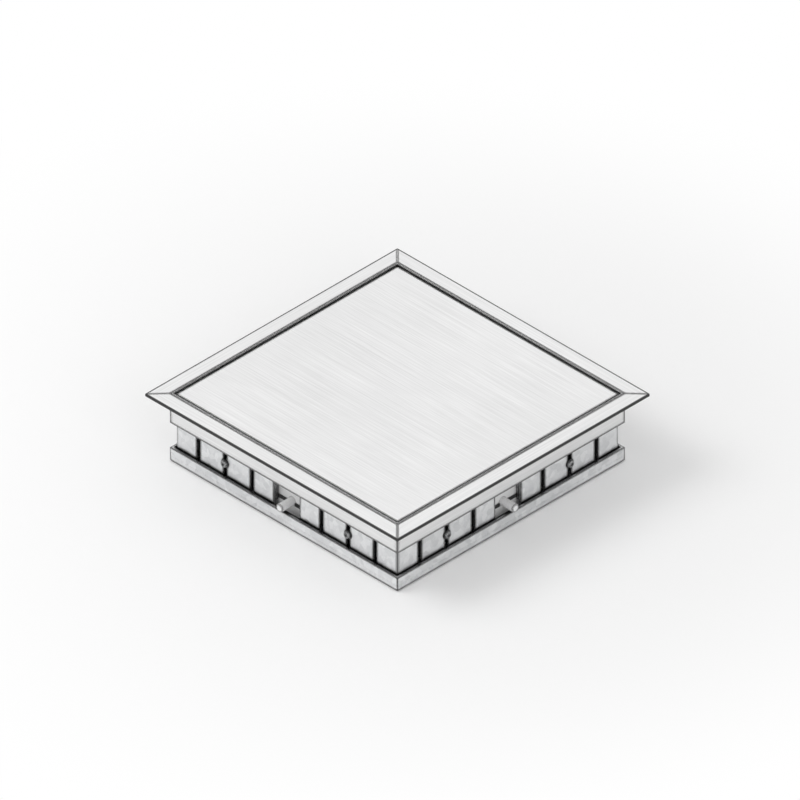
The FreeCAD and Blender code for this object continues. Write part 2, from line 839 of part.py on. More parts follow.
# Gasket on the ledge, under the edge of the lid.
gasket = new_body("lid_gasket")
gasket_out = skirt_in - s.gasket_gap
gasket_ring = Outline(gasket, "XY", ledge_top).square(gasket_out).square(gasket_out - s.gasket_width)
pad(gasket, gasket_ring, s.gasket_height)
nodes.append(gasket)

# Lid: a plain folded pan with three stiffening channels under its skin.
lid = new_body("lid_pan")
pad(lid, Outline(lid, "XY", lid_low).square(lid_half), s.lid_height)
soften(lid, flat_at(lid_top), s.edge_round)
pan_half = lid_half - s.lid_edge
pocket(lid, Outline(lid, "XY", lid_low).square(pan_half), s.lid_height - s.lid_skin, flip=True)
nodes.append(lid)
rib_top = lid_top - s.lid_skin
rib_out = s.rib_width / 2
rib_leg = rib_out - s.rib_flange
rib_inside = rib_leg - s.rib_sheet
flange_low = rib_top - s.rib_sheet
for number in range(3):
    rib = new_body(f"lid_rib_{number + 1}")
    rib_section = Outline(rib, "YZ").polygon(
        (-rib_out, rib_top),
        (-rib_out, flange_low),
        (-rib_leg, flange_low),
        (-rib_leg, lid_low),
        (rib_leg, lid_low),
        (rib_leg, flange_low),
        (rib_out, flange_low),
        (rib_out, rib_top),
        (rib_inside, rib_top),
        (rib_inside, lid_low + s.rib_sheet),
        (-rib_inside, lid_low + s.rib_sheet),
        (-rib_inside, rib_top),
    )
    pad(rib, rib_section, 2 * (pan_half - s.rib_end_gap), both=True)
    soften(rib, along_x((-rib_leg, lid_low), (rib_leg, lid_low)), s.bend_round + s.rib_sheet)
    nodes.append(place(rib, y=(number - 1) * s.rib_spacing))

doc.recompute()
faults = [o.Label for o in doc.Objects if {"Invalid", "Error"} & set(o.State)]
faults += [n.Label for n in nodes if n.Shape.isNull() or not n.Shape.isValid()]
if faults:
    raise RuntimeError(f"not built cleanly: {faults}")

os.makedirs("parts", exist_ok=True)
for node in nodes:
    node.Shape.exportStep(f"parts/{node.Label}.step")
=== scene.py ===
import json
import math
import random

import bpy
from mathutils import Matrix, Vector


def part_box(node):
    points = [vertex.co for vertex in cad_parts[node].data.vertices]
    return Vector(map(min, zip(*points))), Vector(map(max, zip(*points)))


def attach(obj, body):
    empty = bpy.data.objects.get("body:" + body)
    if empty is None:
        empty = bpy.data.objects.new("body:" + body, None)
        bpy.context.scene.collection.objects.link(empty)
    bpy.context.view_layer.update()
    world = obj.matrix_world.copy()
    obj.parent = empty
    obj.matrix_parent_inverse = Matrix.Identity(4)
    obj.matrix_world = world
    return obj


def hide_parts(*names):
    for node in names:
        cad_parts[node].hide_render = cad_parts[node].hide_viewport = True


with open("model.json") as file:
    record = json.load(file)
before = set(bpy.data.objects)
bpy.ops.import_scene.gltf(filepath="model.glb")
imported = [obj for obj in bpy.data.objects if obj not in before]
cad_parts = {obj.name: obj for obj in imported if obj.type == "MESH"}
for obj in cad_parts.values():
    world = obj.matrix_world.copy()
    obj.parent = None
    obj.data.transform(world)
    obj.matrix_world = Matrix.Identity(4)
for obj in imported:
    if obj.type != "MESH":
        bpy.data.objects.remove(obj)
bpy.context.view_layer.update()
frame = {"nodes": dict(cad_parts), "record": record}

scene = bpy.context.scene
scene.view_settings.view_transform = "Standard"

AXES = ("X", "Y", "Z")
SIDES = ("front", "right", "back", "left")
QUARTER_TURN = math.radians(90)


def add_node(tree, kind, inputs, **settings):
    """Adds a shader node, with a link or a value for each of the inputs named."""
    node = tree.nodes.new(f"ShaderNode{kind}")
    for key, value in settings.items():
        setattr(node, key, value)
    for socket, value in inputs.items():
        if isinstance(value, bpy.types.NodeSocket):
            tree.links.new(value, node.inputs[socket])
        else:
            node.inputs[socket].default_value = value
    return node


# Finishes, with lengths in metres.

class Finish:
    """A node material round one Principled shader, textured in the object's own space."""

    FACING = 0.7               # share of the normal along an axis that counts as facing it
    EDGE_TURN = (0.998, 0.96)  # cosine of the true to the rounded normal, off an edge and on it
    BEND_TURN = (0.985, 0.9)   # largest share of the normal along an axis, on a flat and a bend
    OPENNESS = (0.9, 0.65)     # how open a place is with no painted shade, and with full painted shade
    LEVEL_FADE = 0.003
    RIM_FADE = 0.0004
    EDGE_SAMPLES = 6
    SHADE_SAMPLES = 8
    SOFT_SAMPLES = 4

    def __init__(self, name, **sockets):
        self.material = bpy.data.materials.new(name)
        self.material.use_nodes = True
        self.tree = self.material.node_tree
        self.shader = self.tree.nodes["Principled BSDF"]
        for socket, value in sockets.items():
            self.shader.inputs[socket].default_value = value

    def add(self, kind, inputs, **settings):
        return add_node(self.tree, kind, inputs, **settings)

    def drive(self, socket, value):
        """Links a value to an input of the shader."""
        self.tree.links.new(value, self.shader.inputs[socket])

    def calc(self, operation, *values):
        return self.add("Math", dict(enumerate(values)), operation=operation).outputs[0]

    def spot(self):
        """Object coordinates in metres."""
        return self.add("TexCoord", {}).outputs["Object"]

    def facing(self):
        """The normal, in the object's own space."""
        return self.add("TexCoord", {}).outputs["Normal"]

    def parts(self, vector):
        """X, Y and Z of a vector."""
        return self.add("SeparateXYZ", {"Vector": vector}).outputs

    def sizes(self, vector, axes):
        """The absolute parts of a vector along some axes."""
        parts = self.parts(vector)
        return [self.calc("ABSOLUTE", parts[axis]) for axis in axes]

    def noise(self, scale, detail):
        inputs = {"Vector": self.spot(), "Scale": scale, "Detail": detail}
        return self.add("TexNoise", inputs).outputs["Fac"]

    def cells(self, scale, output):
        return self.add("TexVoronoi", {"Vector": self.spot(), "Scale": scale}).outputs[output]

    def spread(self, value, low, high, start=0.3, end=0.7):
        """Maps start to end, by default a texture's middle range, onto low to high."""
        inputs = {"Value": value, "From Min": start, "From Max": end, "To Min": low, "To Max": high}
        return self.add("MapRange", inputs).outputs["Result"]

    def mean(self, *parts):
        """The weighted sum of (value, weight) pairs."""
        total = 0.0
        for value, weight in parts:
            total = self.calc("MULTIPLY_ADD", value, weight, total)
        return total

    def most(self, first, *others):
        """The largest of some values."""
        for other in others:
            first = self.calc("MAXIMUM", first, other)
        return first

    def either(self, flag, off, on):
        """One of two values, by a flag of 0 or 1."""
        node = self.add("Mix", {"Factor": flag, "A": off, "B": on}, data_type="FLOAT")
        return node.outputs["Result"]

    def grain(self, axis, along, across, detail):
        """Noise drawn out along a face: along the given axis on top, level on the upright sides."""
        place = self.parts(self.spot())
        flags = [self.calc("GREATER_THAN", size, self.FACING)
                 for size in self.sizes(self.facing(), (axis, "Z"))]
        other = "Y" if axis == "X" else "X"
        run = self.either(flags[0], place[axis], place[other])
        step = self.either(flags[1], place["Z"], place[other])
        spot = self.add("CombineXYZ", {"X": run, "Y": step}).outputs["Vector"]
        spot = self.add("Mapping", {"Vector": spot, "Scale": (along, across, 1)}).outputs["Vector"]
        return self.add("TexNoise", {"Vector": spot, "Scale": 1, "Detail": detail}).outputs["Fac"]

    def ramp(self, value, *stops):
        """The colour for a value, from two (position, colour) stops."""
        node = self.add("ValToRGB", {"Fac": value})
        for element, (position, colour) in zip(node.color_ramp.elements, stops):
            element.position = position
            element.color = (*colour, 1)
        return node.outputs["Color"]

    def cover(self, share, tone, colour):
        """A tone with a plain colour over it by a share, in the Mix node's colour sockets."""
        node = self.add("Mix", {0: share, 6: tone, 7: (*colour, 1)}, data_type="RGBA")
        return node.outputs[2]

    def edges(self, radius, strength):
        """How near a point is to an edge of its own piece, from 0 to strength."""
        bent = self.add("Bevel", {"Radius": radius}, samples=self.EDGE_SAMPLES).outputs["Normal"]
        flat = self.add("NewGeometry", {}).outputs["Normal"]
        same = self.add("VectorMath", {0: bent, 1: flat}, operation="DOT_PRODUCT").outputs["Value"]
        return self.spread(same, 0, strength, *self.EDGE_TURN)

    def bends(self, strength):
        """How far a point faces away from all axes, as on a bend in sheet, from 0 to strength."""
        largest = self.most(*self.sizes(self.facing(), AXES))
        return self.spread(largest, 0, strength, *self.BEND_TURN)

    def crevice_shade(self, strength, reach, bottom, top):
        """Painted shade: how closed in a point is within a reach, between two levels, from 0 to
        strength.
        """
        # Painted shade from ambient occlusion: narrow places are darkened where shade would fall.
        inputs = {"Distance": reach}
        openness = self.add("AmbientOcclusion", inputs, samples=self.SHADE_SAMPLES).outputs["AO"]
        closed = self.spread(openness, 0, strength, *self.OPENNESS)
        level = self.parts(self.spot())["Z"]
        for start, end in ((top, top - self.LEVEL_FADE), (bottom, bottom + self.LEVEL_FADE)):
            closed = self.calc("MULTIPLY", closed, self.spread(level, 0, 1, start, end))
        return closed

    def rim(self, strength, reach):
        """How far a point of a square piece lies past a reach from the middle, up to strength."""
        largest = self.most(*self.sizes(self.spot(), ("X", "Y")))
        return self.spread(largest, 0, strength, reach, reach + self.RIM_FADE)

    def relief(self, height, strength, depth, round_edge=0.0003):
        """Bump from a texture on top of softened edges."""
        soft = self.add("Bevel", {"Radius": round_edge}, samples=self.SOFT_SAMPLES)
        inputs = {"Height": height, "Strength": strength, "Distance": depth}
        inputs["Normal"] = soft.outputs["Normal"]
        self.drive("Normal", self.add("Bump", inputs).outputs["Normal"])


def grey(tone, warm=0.0):
    """A grey, with a touch of warmth or, below zero, of cold."""
    return (tone * (1 + warm), tone, tone * (1 - warm))


# Near black for dark edges and lines, and for the painted shade on the sheet.
INK_AND_SHADE = grey(0.02)
DUST = grey(0.03)
FINE_DEPTH = 0.0001


def brushed(name, axis, line, rim=None):
    """Brushed stainless steel, its grain along one axis, with dark edges and a dark rim."""
    finish = Finish(name, Metallic=1.0)
    fine = finish.grain(axis, along=30, across=2200, detail=3)
    streaks = finish.grain(axis, along=8, across=650, detail=4)
    cloud = finish.noise(scale=9, detail=4)
    grain = finish.mean((fine, 0.35), (streaks, 0.45), (cloud, 0.2))
    tone = finish.ramp(grain, (0.38, grey(0.74)), (0.62, grey(0.90)))
    dark = finish.edges(line, 0.96)
    if rim:
        dark = finish.most(dark, finish.rim(0.93, rim))
    finish.drive("Base Color", finish.cover(dark, tone, INK_AND_SHADE))
    shine = finish.mean((fine, 0.6), (cloud, 0.4))
    finish.drive("Roughness", finish.spread(shine, 0.30, 0.46))
    finish.relief(finish.mean((fine, 0.6), (streaks, 0.4)), 0.25, FINE_DEPTH)
    return finish.material


def galvanised(name, line, *painted_shade_rows):
    """Zinc-coated sheet: faint spangles, dark edges and bends, painted shade in narrow places.

    Each row of painted shade says how near counts as narrow, and between which levels it lies.
    """
    finish = Finish(name, Metallic=1.0)
    flakes = finish.cells(190, "Color")
    patch = finish.add("SeparateColor", {"Color": flakes}).outputs["Red"]
    speck = finish.noise(scale=900, detail=3)
    cloud = finish.noise(scale=16, detail=4)
    mottle = finish.mean((cloud, 0.4), (patch, 0.3), (speck, 0.3))
    tone = finish.ramp(mottle, (0.3, grey(0.68, -0.012)), (0.7, grey(0.88, -0.006)))
    # Painted shade where nearby pieces close the sheet in, blended with the dark edges and bends.
    painted_shades = [finish.crevice_shade(0.97, *row) for row in painted_shade_rows]
    dark = finish.most(finish.edges(line, 0.95), finish.bends(0.8), *painted_shades)
    finish.drive("Base Color", finish.cover(dark, tone, INK_AND_SHADE))
    shine = finish.mean((speck, 0.5), (patch, 0.5))
    finish.drive("Roughness", finish.spread(shine, 0.36, 0.54))
    finish.relief(finish.mean((speck, 0.7), (cloud, 0.3)), 0.15, FINE_DEPTH)
    return finish.material


def plated(name, low, high, shade, line):
    """Small turned or pressed metal pieces: fine scratches, darker along the edges."""
    finish = Finish(name, Metallic=1.0)
    speck = finish.noise(scale=1600, detail=4)
    cloud = finish.noise(scale=120, detail=3)
    tone = finish.ramp(finish.mean((cloud, 0.6), (speck, 0.4)), (0.35, low), (0.65, high))
    finish.drive("Base Color", finish.cover(finish.edges(line, 0.9), tone, shade))
    finish.drive("Roughness", finish.spread(speck, 0.26, 0.44))
    finish.relief(speck, 0.12, FINE_DEPTH, round_edge=0.0002)
    return finish.material


def moulded(name, low, high, rough, grain, depth=FINE_DEPTH, line=0.0014, edge=0.6):
    """Moulded plastic or rubber: mottled tone, fine grain, grimy edges."""
    finish = Finish(name)
    fine = finish.noise(grain, detail=4)
    cloud = finish.noise(scale=45, detail=4)
    tone = finish.ramp(finish.mean((cloud, 0.7), (fine, 0.3)), (0.35, low), (0.65, high))
    finish.drive("Base Color", finish.cover(finish.edges(line, edge), tone, DUST))
    shine = finish.mean((fine, 0.5), (cloud, 0.5))
    finish.drive("Roughness", finish.spread(shine, rough - 0.07, rough + 0.07))
    finish.relief(fine, 0.25, depth)
    return finish.material


def foam(name):
    """Open-cell foam rubber."""
    finish = Finish(name, Roughness=0.9)
    pores = finish.cells(1400, "Distance")
    finish.drive("Base Color", finish.ramp(pores, (0.0, grey(0.012)), (0.6, grey(0.05))))
    finish.relief(pores, 0.6, 0.0004)
    return finish.material


# Widths that the dark edges are worked out over, and where the rim of the trim starts.
EDGE_LINE = 0.0030
WALL_LINE = 0.0040
FRAME_LINE = 0.0046
TRIM_RIM = 0.1611
# Painted shade in narrow places: reach, lowest and highest level. The part of the wall that the
# frame slides on gets none.
SHEET_PAINTED_SHADE = (0.004, -0.01, 0.040)
LIP_PAINTED_SHADE = (0.009, 0.008, 0.040)
SLEEVE_PAINTED_SHADE = (0.006, -0.01, 0.060)
ZINC_TONES = (grey(0.56, -0.01), grey(0.74, -0.01))

steel_x = brushed("stainless_along_x", "X", EDGE_LINE, TRIM_RIM)
steel_y = brushed("stainless_along_y", "Y", EDGE_LINE, TRIM_RIM)
frame_steel = brushed("frame_stainless", "X", FRAME_LINE)
sheet = galvanised("galvanised_sheet", EDGE_LINE, SHEET_PAINTED_SHADE)
wall_sheet = galvanised("wall_sheet", WALL_LINE, SHEET_PAINTED_SHADE)
tray_sheet = galvanised("tray_sheet", EDGE_LINE, SHEET_PAINTED_SHADE, LIP_PAINTED_SHADE)
sleeve_sheet = galvanised("sleeve_sheet", EDGE_LINE, SLEEVE_PAINTED_SHADE)
zinc = plated("zinc_plating", *ZINC_TONES, shade=grey(0.05), line=0.0007)
clamp_zinc = plated("clamp_zinc_plating", *ZINC_TONES, shade=INK_AND_SHADE, line=0.0034)
washer_black = plated("washer_black", grey(0.10), grey(0.22), shade=INK_AND_SHADE, line=0.0014)
brass = plated(
    "turned_brass", (0.62, 0.43, 0.16), (0.80, 0.60, 0.27), shade=(0.18, 0.10, 0.04), line=0.0006
)
seal = moulded("seal_rubber", grey(0.74), grey(0.84), rough=0.62, grain=700, depth=0.0002)
plug = moulded(
    "plug_plastic", grey(0.78), grey(0.88), rough=0.45, grain=900, line=0.0028, edge=0.95
)
insert = moulded("insert_plastic", grey(0.76, 0.01), grey(0.86, 0.01), rough=0.38, grain=1100)
rubber = foam("gasket_foam")

SLOT_FINISH = {
    "stainless": steel_x,
    "galvanised": sheet,
    "zinc": zinc,
    "seal_grey": seal,
    "plug_grey": plug,
    "gasket_black": rubber,
    "insert_white": insert,
    "brass": brass,
}
SPECIAL_FINISH = {
    "trim_left": steel_y,
    "trim_right": steel_y,
    "upper_frame": frame_steel,
    "side_wall": wall_sheet,
    "base_tray": tray_sheet,
    "clamp_sleeve": sleeve_sheet,
    "clamp_washers": washer_black,
}

for row in frame["record"]["subparts"]:
    node = frame["nodes"][row["node"]]
    node.data.materials.clear()
    node.data.materials.append(SPECIAL_FINISH.get(row["node"], SLOT_FINISH[row["material_slot"]]))


# Detail pieces, built in millimetres in the frame of the box.

METRES = 0.001
SMOOTH_ANGLE = math.radians(35)


class Shape:
    """Points and faces in millimetres that become one piece."""

    def __init__(self):
        self.points = []
        self.faces = []

    def add(self, part, place=Matrix()):
        points, faces = part
        first = len(self.points)
        self.points += [place @ Vector(p) for p in points]
        self.faces += [[first + i for i in face] for face in faces]

    def piece(self, name, body, slot, replaces=(), finish=None):
        mesh = bpy.data.meshes.new(name)
        mesh.from_pydata([p * METRES for p in self.points], [], self.faces)
        mesh.shade_smooth()
        mesh.set_sharp_from_angle(angle=SMOOTH_ANGLE)
        mesh.materials.append(finish or SLOT_FINISH[slot])
        item = bpy.data.objects.new(name, mesh)
        scene.collection.objects.link(item)
        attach(item, body)
        if replaces:
            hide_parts(*replaces)


def tube(rings, closed=True):
    """Faces between rings of equally many points, with flat ends where closed."""
    count = len(rings[0])
    points = [p for ring in rings for p in ring]
    faces = []
    for row in range(len(rings) - 1):
        for i in range(count):
            j = (i + 1) % count
            a = row * count
            faces.append((a + i, a + j, a + count + j, a + count + i))
    if closed:
        faces.append(tuple(reversed(range(count))))
        last = (len(rings) - 1) * count
        faces.append(tuple(range(last, last + count)))
    return points, faces


def circle(radius, height, angles):
    """Points at some angles about Z."""
    return [(radius * math.cos(a), radius * math.sin(a), height) for a in angles]


def turned(profile, count=32, closed=True):
    """A profile of (radius, height) turned about Z, from its bottom up."""
    angles = [2 * math.pi * i / count for i in range(count)]
    return tube([circle(r, z, angles) for r, z in profile], closed)


def threaded(radius, low, high, pitch, depth, count=20, steps=5):
    """A threaded rod: a cylinder whose radius follows a helix and runs out at both ends."""
    last = round((high - low) / pitch * steps)
    rings = []
    for k in range(last + 1):
        z = low + (high - low) * k / last
        end = min(1.0, (z - low) / pitch, (high - z) / pitch)
        ring = []
        for i in range(count):
            turn = i / count
            phase = (z / pitch - turn) % 1
            groove = depth * (1 - abs(2 * phase - 1))
            r = radius - groove - 0.5 * depth * (1 - end)
            angle = 2 * math.pi * turn
            ring.append((r * math.cos(angle), r * math.sin(angle), z))
        rings.append(ring)
    return tube(rings)


NUT_CROWN = 0.96
NUT_SLOPE = 0.577
BORE_CHAMFER = 0.3


def hexagon_nut(flats, height, bore, count=60):
    """A chamfered hexagon nut standing on Z = 0."""
    flat = flats / 2
    crown = NUT_CROWN * flat
    rings = [[] for _ in range(6)]
    for i in range(count):
        angle = 2 * math.pi * (i + 0.5) / count
        c, s = math.cos(angle), math.sin(angle)
        turn = (math.degrees(angle) + 30) % 60 - 30
        out = flat / math.cos(math.radians(turn))
        drop = NUT_SLOPE * (out - crown)
        levels = (
            (bore, BORE_CHAMFER),
            (crown, 0.0),
            (out, drop),
            (out, height - drop),
            (crown, height),
            (bore, height - BORE_CHAMFER),
        )
        for ring, (r, z) in zip(rings, levels):
            ring.append((r * c, r * s, z))
    return tube(rings + rings[:1], closed=False)


def quarter(side):
    """Turns what is built for the front to a side."""
    return Matrix.Rotation(math.radians(90 * SIDES.index(side)), 4, "Z")


def outward(side, along, out, level):
    """Places a part built along +Z so that it points out of a side."""
    place = Matrix.Translation((along, -out, level))
    return quarter(side) @ place @ Matrix.Rotation(QUARTER_TURN, 4, "X")


def upright(x, y, z):
    return Matrix.Translation((x, y, z))


def span(node):
    """Lowest and highest corner of a CAD node in millimetres."""
    low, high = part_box(node)
    return low * 1000, high * 1000


FINE_THREAD = {"pitch": 0.7, "depth": 0.38, "count": 16, "steps": 4}
COARSE_THREAD = {"pitch": 1.0, "depth": 0.55}
M4_RADIUS = 2.0
M4_NUT_HEIGHT = 3.2
M4_NUT = hexagon_nut(flats=7, height=M4_NUT_HEIGHT, bore=M4_RADIUS)
M6_RADIUS = 3.0
M6_NUT = hexagon_nut(flats=10, height=4.5, bore=M6_RADIUS)

# Levelling screws: full thread, slotted end.
SLOT_DEPTH = 2.1
SLOT_HALF = 0.6
SLOT_MIDDLE = 0.5
END_PROFILE = ((0.3, SLOT_DEPTH), (0.3, 0.5), (0.7, 0.0))  # in from the thread, down from the top
END_STEPS = 14
for number in range(1, 5):
    low, high = span(f"levelling_screw_{number}")
    place = upright((low.x + high.x) / 2, (low.y + high.y) / 2, 0)
    radius = (high.x - low.x) / 2
    screw = Shape()
    screw.add(threaded(radius, low.z, high.z - SLOT_DEPTH, **COARSE_THREAD), place)
    opening = math.asin(SLOT_HALF / (radius - SLOT_MIDDLE))
    step = (math.pi - 2 * opening) / END_STEPS
    for half_turn in (0, math.pi):
        angles = [half_turn + opening + step * i for i in range(END_STEPS + 1)]
        rings = [circle(radius - inset, high.z - drop, angles) for inset, drop in END_PROFILE]
        screw.add(tube(rings), place)
    screw.piece(
        f"levelling_thread_{number}", f"jack_{number}", "zinc", [f"levelling_screw_{number}"]
    )

# Studs and nuts on the tray floor: at the brackets and at the feet of the carriers.
BRACKET_FOOT_TOP = 6.5
BRACKET_STUDS = ((-19, -124.2), (19, -124.2))
CARRIER_FOOT_TOP = 3.5
CARRIER_STUDS_X = (-94.5, 94.5)
CARRIER_STUDS_Y = (-105, -15, 15, 105)
stud_spots = []
for side in SIDES:
    for x, y in BRACKET_STUDS:
        spot = quarter(side) @ Vector((x, y, 0))
        stud_spots.append((spot.x, spot.y, BRACKET_FOOT_TOP))
for x in CARRIER_STUDS_X:
    for y in CARRIER_STUDS_Y:
        stud_spots.append((x, y, CARRIER_FOOT_TOP))
low, high = span("tray_studs")
studs = Shape()
nuts = Shape()
rod = threaded(M4_RADIUS, low.z, high.z, **FINE_THREAD)
for x, y, level in stud_spots:
    studs.add(rod, upright(x, y, 0))
    nuts.add(M4_NUT, upright(x, y, level))
studs.piece("threaded_studs", "base", "zinc", ["tray_studs"])
nuts.piece("chamfered_stud_nuts", "base", "zinc", ["stud_nuts"])

# Earth terminal: a flanged stud with two nuts.
FLANGE_PROFILE = ((5.7, 0.0), (6, 0.3), (6, 1.7), (5.7, 2.0))
FLANGE_HEIGHT = FLANGE_PROFILE[-1][1]
EARTH_NUT_LEVELS = (3.5, 10.7)
low, high = span("earth_stud")
earth = Shape()
earth.add(turned([(r, low.z + z) for r, z in FLANGE_PROFILE]))
earth.add(threaded(M6_RADIUS, low.z + FLANGE_HEIGHT, high.z, **COARSE_THREAD))
earth.piece("threaded_earth_stud", "base", "brass", ["earth_stud"])
earth_nuts = Shape()
for level in EARTH_NUT_LEVELS:
    earth_nuts.add(M6_NUT, upright(0, 0, level))
earth_nuts.piece("chamfered_earth_nuts", "base", "brass", ["earth_nuts"])

# Clamp screws: pan head with a cross recess, threaded shank, nut inside the sleeve.
WALL_OUT = 142.6
SLEEVE_IN = 136.8
WASHER = 0.8
SHANK = 12
CLAMP_LEVEL = 28.7
CLAMP_PLACES = (-79.2, 79.2)
HEAD_DOME = ((1.0, 0.0), (1.0, 0.45), (0.97, 0.68), (0.86, 0.87), (0.72, 0.97))
RECESS_MOUTH = 1.06
RECESS_FOOT = 0.8
RECESS_STEPS = 4


def pan_head(radius, height, reach, bar, depth):
    """A domed head on Z = 0 with a cross recess, as rings of points round the recess."""
    corners = [(reach, bar), (bar, bar), (bar, reach)]
    cross = []
    for turn in range(4):
        c, s = round(math.cos(turn * math.pi / 2)), round(math.sin(turn * math.pi / 2))
        cross += [(x * c - y * s, x * s + y * c) for x, y in corners]
    outline = []
    for (x, y), (x2, y2) in zip(cross, cross[1:] + cross[:1]):
        for k in range(RECESS_STEPS):
            share = k / RECESS_STEPS
            outline.append((x + (x2 - x) * share, y + (y2 - y) * share))
    angles = [math.atan2(y, x) for x, y in outline]
    rings = [circle(radius * r, height * z, angles) for r, z in HEAD_DOME]
    for size, level in ((RECESS_MOUTH, height), (RECESS_FOOT, height - depth)):
        rings.append([(x * size, y * size, level) for x, y in outline])
    return tube(rings)


clamps = Shape()
clamp_nuts = Shape()
head = pan_head(radius=3.5, height=2.4, reach=1.5, bar=0.45, depth=1.2)
shank = threaded(M4_RADIUS, -SHANK, 0, **FINE_THREAD)
for side in SIDES:
    for along in CLAMP_PLACES:
        seat = outward(side, along, WALL_OUT + WASHER, CLAMP_LEVEL)
        clamps.add(head, seat)
        clamps.add(shank, seat)
        clamp_nuts.add(M4_NUT, outward(side, along, SLEEVE_IN - M4_NUT_HEIGHT, CLAMP_LEVEL))
clamps.piece("pan_head_clamp_screws", "frame", "zinc", ["clamp_screws"], clamp_zinc)
clamp_nuts.piece("chamfered_clamp_nuts", "frame", "zinc", ["clamp_nuts"])

# Rivets of the trim, domed inside the skirt.
RIVET_PROFILE = (
    (1.5, 4.5), (1.5, 0), (2.8, 0), (2.75, -0.35), (2.3, -0.7), (1.4, -0.88), (0.5, -0.9)
)
RIVET_PLACES = (-105, 0, 105)
RIVET_SEAT = 144.0
RIVET_LEVEL = 66.3
rivets = Shape()
rivet = turned(RIVET_PROFILE, 28)
for side in SIDES:
    for along in RIVET_PLACES:
        rivets.add(rivet, outward(side, along, RIVET_SEAT, RIVET_LEVEL))
rivets.piece("domed_rivets", "frame", "zinc", ["trim_rivets"])

# Fillet welds of the gussets on the clamp sleeve.
GUSSET_TOP = 50.0
BEAD_LENGTH = 18
BEAD_RADIUS = 1.7
BEAD_MIDDLE = 14      # from the corner of the sleeve
BEAD_STEP = 0.45
BEAD_ROOT = -0.3
BEAD_ARC_STEPS = 5
RIPPLE = 0.09
RIPPLE_STEPS = 3
UNEVEN = 0.05
END_SWELL = 0.25
SWELL_SLOPE = 6
rng = random.Random(7)


def weld_bead():
    """A rippled fillet weld along X, in the corner between a floor (Z up) and a wall at Y = 0."""
    rings = []
    count = round(BEAD_LENGTH / BEAD_STEP)
    for k in range(count + 1):
        t = k / count
        swell = min(1.0, SWELL_SLOPE * t + END_SWELL, SWELL_SLOPE * (1 - t) + END_SWELL)
        ripple = RIPPLE * math.sin(2 * math.pi * k / RIPPLE_STEPS)
        r = BEAD_RADIUS * swell * (1 + ripple + rng.uniform(-UNEVEN, UNEVEN))
        x = BEAD_LENGTH * (t - 0.5)
        ring = [(x, BEAD_ROOT, BEAD_ROOT)]
        for i in range(BEAD_ARC_STEPS + 1):
            angle = math.pi / 2 * i / BEAD_ARC_STEPS
            ring.append((x, r * math.cos(angle), r * math.sin(angle)))
        rings.append(ring)
    return tube(rings)


along_y = Matrix.Rotation(QUARTER_TURN, 4, "Z")
for number, side in enumerate(SIDES, start=1):
    welds = Shape()
    seat = Matrix.Translation((SLEEVE_IN - BEAD_MIDDLE, -SLEEVE_IN, GUSSET_TOP))
    welds.add(weld_bead(), quarter(side) @ seat)
    seat = Matrix.Translation((SLEEVE_IN, BEAD_MIDDLE - SLEEVE_IN, GUSSET_TOP))
    welds.add(weld_bead(), quarter(side) @ seat @ along_y)
    welds.piece(f"gusset_weld_{number}", "frame", "galvanised")

# Spot welds on the flanges of the lid's channels.
SPOT_PROFILE = ((2.6, 0.1), (2.5, -0.06), (2.0, -0.1), (1.6, -0.03), (0.6, -0.02))
SPOT_PLACES = (-110, -55, 0, 55, 110)
FLANGE_OFFSETS = (-16.5, 16.5)
FLANGE_THICKNESS = 2.0
spots = Shape()
mark = turned(SPOT_PROFILE, 24)
for rib in (1, 2, 3):
    low, high = span(f"lid_rib_{rib}")
    middle = (low.y + high.y) / 2
    for x in SPOT_PLACES:
        for offset in FLANGE_OFFSETS:
            spots.add(mark, upright(x, middle + offset, high.z - FLANGE_THICKNESS))
spots.piece("lid_spot_welds", "lid", "galvanised")

# Dark ribbed lip across each entry seal, on both sides of its plug.
SEAL_FACE = 135.25
LIP_PROFILE = (  # out from the seal, level
    (0.0, 18.9), (0.9, 18.9), (1.15, 19.6), (0.9, 20.3),
    (1.15, 21.0), (0.9, 21.7), (0.9, 22.4), (0.0, 22.4),
)
LIP_RUNS = ((-22.0, -4.1), (4.1, 22.0))
for side in SIDES:
    lip = Shape()
    for run in LIP_RUNS:
        rings = [[(x, -SEAL_FACE - out, z) for out, z in LIP_PROFILE] for x in run]
        lip.add(tube(rings), quarter(side))
    lip.piece(f"seal_lip_{side}", "base", "seal_grey", finish=rubber)

# Contacts of the sockets and of the data ports.
INSERT_COLUMNS = (-62, 0, 62)
SOCKET_ROW = 60
CONTACT_OFFSETS = (-9.5, 9.5)
CONTACT_PROFILE = (
    (2.65, 11.1), (2.65, 16.0), (2.3, 16.2), (2.05, 15.9), (2.05, 11.1), (2.65, 11.1)
)
RECESS_FLOOR = 16.5
contacts = Shape()
covers = Shape()
contact = turned(CONTACT_PROFILE, 28, closed=False)
cover_screw = pan_head(radius=2.6, height=0.8, reach=1.6, bar=0.3, depth=0.5)
for x in INSERT_COLUMNS:
    for offset in CONTACT_OFFSETS:
        contacts.add(contact, upright(x + offset, SOCKET_ROW, 0))
    covers.add(cover_screw, upright(x, SOCKET_ROW, RECESS_FLOOR))
contacts.piece("socket_contacts", "base", "brass")
covers.piece("socket_cover_screws", "base", "zinc")

